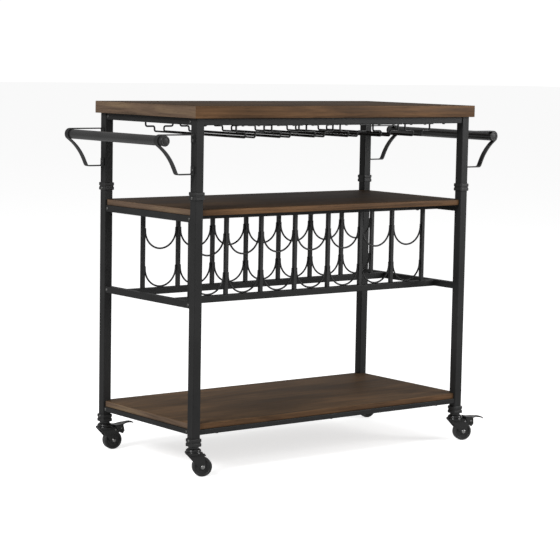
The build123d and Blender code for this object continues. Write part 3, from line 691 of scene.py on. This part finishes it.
# --- bent wires, by geometry nodes ----------------------------------------------------------------
def wire_tree(name, material):
    """Round wire swept along the base's lines, with closed ends."""
    tree, group = new_tree(name, [("Wire Radius", "NodeSocketFloat"), ("Sides", "NodeSocketInt")])
    path = add(tree, "GeometryNodeMeshToCurve", {"Mesh": group.outputs["Geometry"]})
    ring = add(
        tree,
        "GeometryNodeCurvePrimitiveCircle",
        {"Radius": group.outputs["Wire Radius"], "Resolution": group.outputs["Sides"]},
    )
    swept = add(
        tree,
        "GeometryNodeCurveToMesh",
        {"Curve": path.outputs["Curve"], "Profile Curve": ring.outputs["Curve"], "Fill Caps": True},
    )
    real = add(tree, "GeometryNodeRealizeInstances", {"Geometry": swept.outputs["Mesh"]})
    painted = add(
        tree, "GeometryNodeSetMaterial", {"Geometry": real.outputs["Geometry"], "Material": material}
    )
    add(tree, "NodeGroupOutput", {"Geometry": painted.outputs["Geometry"]})
    return tree


def wires(name, paths, radius, sides=16):
    """A mesh of round wires along paths of points."""
    verts, edges = [], []
    for path in paths:
        first = len(verts)
        verts += path
        edges += [(first + i, first + i + 1) for i in range(len(path) - 1)]
    base = bpy.data.meshes.new(name + "_paths")
    base.from_pydata(verts, edges, [])
    tree = wire_tree(name + "_tree", wire_coat)
    mesh = grown(name, base, tree, {"Wire Radius": radius, "Sides": sides})
    mesh.shade_smooth()
    mesh.set_sharp_from_angle(angle=SMOOTH_UNDER)
    return mesh


for where in ("front", "back"):
    paths = []
    for low, high in solids_of(f"rack_cradles_{where}"):
        radius = (high.x - low.x) / 2 - WIRE * MM
        centre = Vector(((low.x + high.x) / 2, (low.y + high.y) / 2, low.z + radius + WIRE * MM))
        bowl = [math.pi * (1 + i / 28) for i in range(29)]
        arc = [centre + Vector((radius * math.cos(a), 0, radius * math.sin(a))) for a in bowl]
        tips = [Vector((p.x, p.y, high.z)) for p in (arc[0], arc[-1])]
        paths.append([tips[0], *arc, tips[1]])
    mesh = wires(f"cradles_{where}", paths, WIRE * MM)
    node = f"rack_cradles_{where}"
    piece(node + "_wire", "cart", mesh, [wire_coat], [node])


# --- handle grips and caps ------------------------------------------------------------------------
# The two handles are one part, turned half round: a grip stands past its strap at one end and is
# flush with it at the other.
strap_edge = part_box("handle_straps_left")[1].y / MM
grip_ends = {True: strap_edge + GRIP_OUT, False: strap_edge - GRIP_IN}
for end, side in {"left": -1, "right": 1}.items():
    node = f"handle_grip_{end}"
    low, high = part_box(node)
    near, far = -grip_ends[side < 0], grip_ends[side > 0]
    tube = [(GRIP_BORE, near), (GRIP, near), (GRIP, far), (GRIP_BORE, far)]
    bm = bmesh.new()
    turned(bm, tube, facing_y(((low.x + high.x) / 2, 0, (low.z + high.z) / 2), 1), 64, closed=True)
    mesh = smooth_mesh(bm, f"grip_{end}")
    piece(node + "_tube", "cart", mesh, [grip_coat], [node])

CAP_PROFILE = [
    (0, -CAP["plug_end"]),
    (CAP["plug"] - 0.8, -CAP["plug_end"]),
    (CAP["plug"], -CAP["plug_end"] + 0.8),
    (CAP["plug"], 0),
    (CAP["radius"] - 0.3, 0),
    (CAP["radius"], 0.3),
    (CAP["radius"], 3.2),
    (CAP["radius"] - 0.5, 4.2),
    (CAP["radius"] - 1.4, 4.85),
    (CAP["radius"] - 2.6, CAP["depth"]),
    (10.2, CAP["depth"]),
    (9.6, 4.8),
    (9.3, 4.2),
    (8.9, 3.9),
    (7.5, 4.1),
    (4.0, 4.5),
    (0, 4.6),
]
bm = bmesh.new()
for low, high in solids_of("handle_end_caps"):
    centre = (low + high) / 2
    side = 1 if centre.y > 0 else -1
    stands_out = centre.x * side > 0
    seat = side * grip_ends[stands_out] * MM
    flush = [(min(radius, GRIP - FLUSH_GAP), height) for radius, height in CAP_PROFILE]
    profile = CAP_PROFILE if stands_out else flush
    turned(bm, profile, facing_y((centre.x, seat, centre.z), side), 56)
mesh = smooth_mesh(bm, "handle_caps")
piece("handle_caps_dished", "cart", mesh, [cap_plastic], ["handle_end_caps"])

# --- casters --------------------------------------------------------------------------------------
# Profiles of (radius, height): half a wheel from its middle plane, the crown up from the floor, and
# the bolt's head from its seat.
WHEEL_HALF = [
    (4.05, 10.5),
    (8.2, 10.5),
    (9.0, 10.0),
    (10.4, 7.2),
    (11.0, 7.0),
    (18.6, 7.0),
    (19.3, 7.3),
    (20.0, 9.5),
    (20.6, 10.0),
    (23.6, 10.0),
    (24.9, 9.7),
    (25.6, 9.1),
    (25.95, 8.2),
    (26.0, 7.0),
]
WHEEL_PROFILE = WHEEL_HALF + [(radius, -height) for radius, height in reversed(WHEEL_HALF)]
CROWN_PROFILE = [
    (5.05, 66.5),
    (15.0, 66.5),
    (15.0, 58.1),
    (18.6, 58.1),
    (19.6, 58.6),
    (21.0, 59.9),
    (21.5, 61.2),
    (21.5, 63.6),
    (20.9, 65.0),
    (19.4, 66.0),
    (19.2, 66.5),
    (19.9, 67.3),
    (20.5, 68.3),
    (20.5, 70.0),
    (19.9, 71.5),
    (18.2, 73.2),
    (16.0, 74.6),
    (14.4, 75.0),
    (5.05, 75.0),
]
BOLT_HEAD = [(5.5, 0), (5.5, 0.6), (5.2, 1.5), (4.3, 2.4), (2.4, 2.9), (0, 3.0)]


def along_y(out, up, side):
    """A place in the caster's upright plane whose Z looks out along its Y."""
    return facing_y((out * MM, 0, up * MM), side)


UPRIGHT = Matrix.Rotation(math.pi / 2, 4, "X")  # (x, y) drawn in X and Z, thickness towards -Y


def rivet(bm, place, radius, rise):
    """A domed rivet head, its seat at the place's origin."""
    profile = [(0, -1.0), (radius, -1.0), (radius, rise * 0.3), (radius * 0.9, rise * 0.65)]
    turned(bm, profile + [(radius * 0.6, rise * 0.92), (0, rise)], place, 20)


def caster_places(corner):
    """Where a caster stands, how far its axle trails and how high it is."""
    leg_low, leg_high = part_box(f"lower_leg_{corner}")
    wheel_low, wheel_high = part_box(f"caster_wheel_{corner}")
    swivel, axle = (leg_low + leg_high) / 2, (wheel_low + wheel_high) / 2
    run = Vector((axle.x - swivel.x, axle.y - swivel.y, 0))
    turn = math.atan2(run.y, run.x)
    place = Matrix.Translation((swivel.x, swivel.y, 0)) @ Matrix.Rotation(turn, 4, "Z")
    return place, run.length / MM, axle.z / MM


def plate_half_width(out):
    """Half the pedal's width: full over the ears, tapering to a rounded tip."""
    half = float(np.interp(out, PLATE_TAPER, [EAR_OUTER, TIP_HALF]))
    past = out - (TIP - TIP_ROUND)
    return half if past <= 0 else half - TIP_ROUND + math.sqrt(max(TIP_ROUND**2 - past**2, 0.0))


def pedal_plate(bm, place):
    """The bent tread plate with rounded edges, and four grip ribs across it."""
    rings = []
    rounded_tip = [45.5, 47.0, 48.2, 49.2, 49.8, TIP]
    for out in [*np.linspace(PLATE_START, TIP - TIP_ROUND, 30), *rounded_tip]:
        half, level = plate_half_width(out), float(np.polyval(PLATE_LINE, out))
        rim = [(half - 0.7, PLATE_HALF), (half, 0.5), (half, -0.5), (half - 0.7, -PLATE_HALF)]
        rim += [(-y, z) for y, z in reversed(rim)]
        spots = [Vector((out * MM, y * MM, (level + z) * MM)) for y, z in rim]
        rings.append([bm.verts.new(place @ spot) for spot in spots])
    faces = [bm.faces.new(rings[0]), bm.faces.new(rings[-1])]
    for near, far in zip(rings, rings[1:]):
        for i in range(len(near)):
            j = (i + 1) % len(near)
            faces.append(bm.faces.new([near[i], near[j], far[j], far[i]]))
    bmesh.ops.recalc_face_normals(bm, faces=faces)
    for out in TREAD_RIBS:
        level = float(np.polyval(PLATE_LINE, out)) + PLATE_HALF
        near, far = out - RIB_HALF_WIDTH, out + RIB_HALF_WIDTH
        rib = rectangle(near, -RIB_HALF_LENGTH, far, RIB_HALF_LENGTH)
        slab(bm, rib, level - 0.6, level + 0.7, place, 0.35)


def moulded_wheel(place, trail, axle_up):
    """A wheel with a rounded tread, a sunk web, and ribs across the web on both sides."""
    bm = bmesh.new()
    turned(bm, WHEEL_PROFILE, place @ along_y(trail, axle_up, 1), 72, closed=True)
    rib = [(10.0, -0.9), (19.4, -0.7), (19.4, 0.7), (10.0, 0.9)]
    for side in (-1, 1):
        for i in range(SPOKES):
            turn = Matrix.Rotation(2 * math.pi * i / SPOKES, 4, "Z")
            spoke = along_y(trail, axle_up, side) @ turn
            slab(bm, rib, 6.0, 8.4, place @ spoke, 0.3)
    return bm


def axle_bolt(place, trail, axle_up):
    """A domed bolt through both cheeks, with a hexagon nut on its far end."""
    bm = bmesh.new()
    bolt = [(0, -2 * CHEEK_OUTER), (AXLE, -2 * CHEEK_OUTER), (AXLE, 0)] + BOLT_HEAD
    turned(bm, bolt, place @ along_y(trail, axle_up, -1) @ away(CHEEK_OUTER), 40)
    nut = place @ along_y(trail, axle_up, 1)
    corners = [math.pi * i / 3 for i in range(6)]
    hexagon = [(NUT * math.cos(a), NUT * math.sin(a)) for a in corners]
    slab(bm, hexagon, CHEEK_OUTER, CHEEK_OUTER + NUT_HEIGHT, nut, 0.5)
    start, end, chamfer = CHEEK_OUTER - 1.0, CHEEK_OUTER + NUT_HEIGHT + 1.0, 0.6
    stub = [(0, start), (AXLE, start), (AXLE, end - chamfer), (AXLE - chamfer, end), (0, end)]
    turned(bm, stub, nut, 32)
    return bm


def pressed_fork(place, trail, axle_up, braked):
    """The grooved crown, two cheeks and the bridge, with the pedal's pins if it is braked."""
    bm = bmesh.new()
    turned(bm, CROWN_PROFILE, place, 72, closed=True)
    tail = trail + (PIVOT_OUT if braked else 0.0)
    top = axle_up + PIVOT_UP
    plate = hull_of([(trail, axle_up, CHEEK_BOSS), (tail, top, CHEEK_TAIL), CHEEK_NOSE])
    for low in (-CHEEK_OUTER, CHEEK_INNER):
        slab(bm, plate, low, low + CHEEK_OUTER - CHEEK_INNER, place @ UPRIGHT, 0.6)
    bridge = rectangle(BRIDGE_OUT[0], -CHEEK_INNER, BRIDGE_OUT[1], CHEEK_INNER)
    slab(bm, bridge, *BRIDGE_UP, place, 0.5)
    for side in (-1, 1) if braked else ():
        rivet(bm, place @ along_y(tail, top, side) @ away(EAR_OUTER), *PIN_HEAD)
    return bm


def rivet_pair(place, out, up, seat):
    """Two rivet heads that face out on the two sides of a caster."""
    bm = bmesh.new()
    for side in (-1, 1):
        rivet(bm, place @ along_y(out, up, side) @ away(seat), *RIVET)
    return bm


def pressed_pedal(place, pin_out, pin_up, lift):
    """The tread plate with its two ears, and the shoe, lifted from where the shoe holds the wheel."""
    bm = bmesh.new()
    at_pin = place @ Matrix.Translation((pin_out * MM, 0, pin_up * MM))
    locked = at_pin @ Matrix.Rotation(-lift, 4, "Y")
    released = locked @ Matrix.Rotation(PEDAL_TRAVEL, 4, "Y")
    pedal_plate(bm, released)
    for low in (-EAR_OUTER, EAR_OUTER - EAR_THICKNESS):
        slab(bm, hull_of(EAR), low, low + EAR_THICKNESS, released @ UPRIGHT, 0.5)
    slab(bm, SHOE, -SHOE_HALF, SHOE_HALF, locked @ UPRIGHT, 1.0)
    return bm


def caster_piece(name, body, bm, mesh_name, material, replaced=()):
    piece(name, body, smooth_mesh(bm, mesh_name), [material], replaced)


for corner in CORNERS:
    place, trail, axle_up = caster_places(corner)
    wheel, fork, pedal = f"wheel_{corner}", f"caster_{corner}", f"pedal_{corner}"

    bm = moulded_wheel(place, trail, axle_up)
    replaced = [f"caster_wheel_{corner}"]
    caster_piece(f"wheel_{corner}_moulded", wheel, bm, wheel, moulded_nylon, replaced)
    bm = axle_bolt(place, trail, axle_up)
    replaced = [f"caster_axle_{corner}"]
    name = f"axle_{corner}"
    caster_piece(name + "_bolt", fork, bm, name, zinc_plate, replaced)
    bm = pressed_fork(place, trail, axle_up, corner in PEDAL_LIFT)
    replaced = [f"caster_fork_{corner}"]
    name = f"fork_{corner}"
    caster_piece(name + "_pressed", fork, bm, name, gloss_coat, replaced)
    if corner not in PEDAL_LIFT:
        continue

    bm = rivet_pair(place, trail + STOP_OUT, axle_up + STOP_UP, CHEEK_OUTER)
    caster_piece(name + "_rivets", fork, bm, f"fork_rivets_{corner}", zinc_plate)
    lift = PEDAL_LIFT[corner]
    pin_out, pin_up = trail + PIVOT_OUT, axle_up + PIVOT_UP
    out, up = SHOE_RIVET
    shoe_out = out * math.cos(lift) - up * math.sin(lift)
    shoe_up = out * math.sin(lift) + up * math.cos(lift)
    bm = rivet_pair(place, pin_out + shoe_out, pin_up + shoe_up, SHOE_HALF)
    caster_piece(pedal + "_rivets", pedal, bm, f"shoe_rivets_{corner}", zinc_plate)
    bm = pressed_pedal(place, pin_out, pin_up, lift)
    replaced = [f"brake_pedal_{corner}"]
    caster_piece(pedal + "_pressed", pedal, bm, pedal, gloss_coat, replaced)

# --- the sizes of the finished scene --------------------------------------------------------------
low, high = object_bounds()
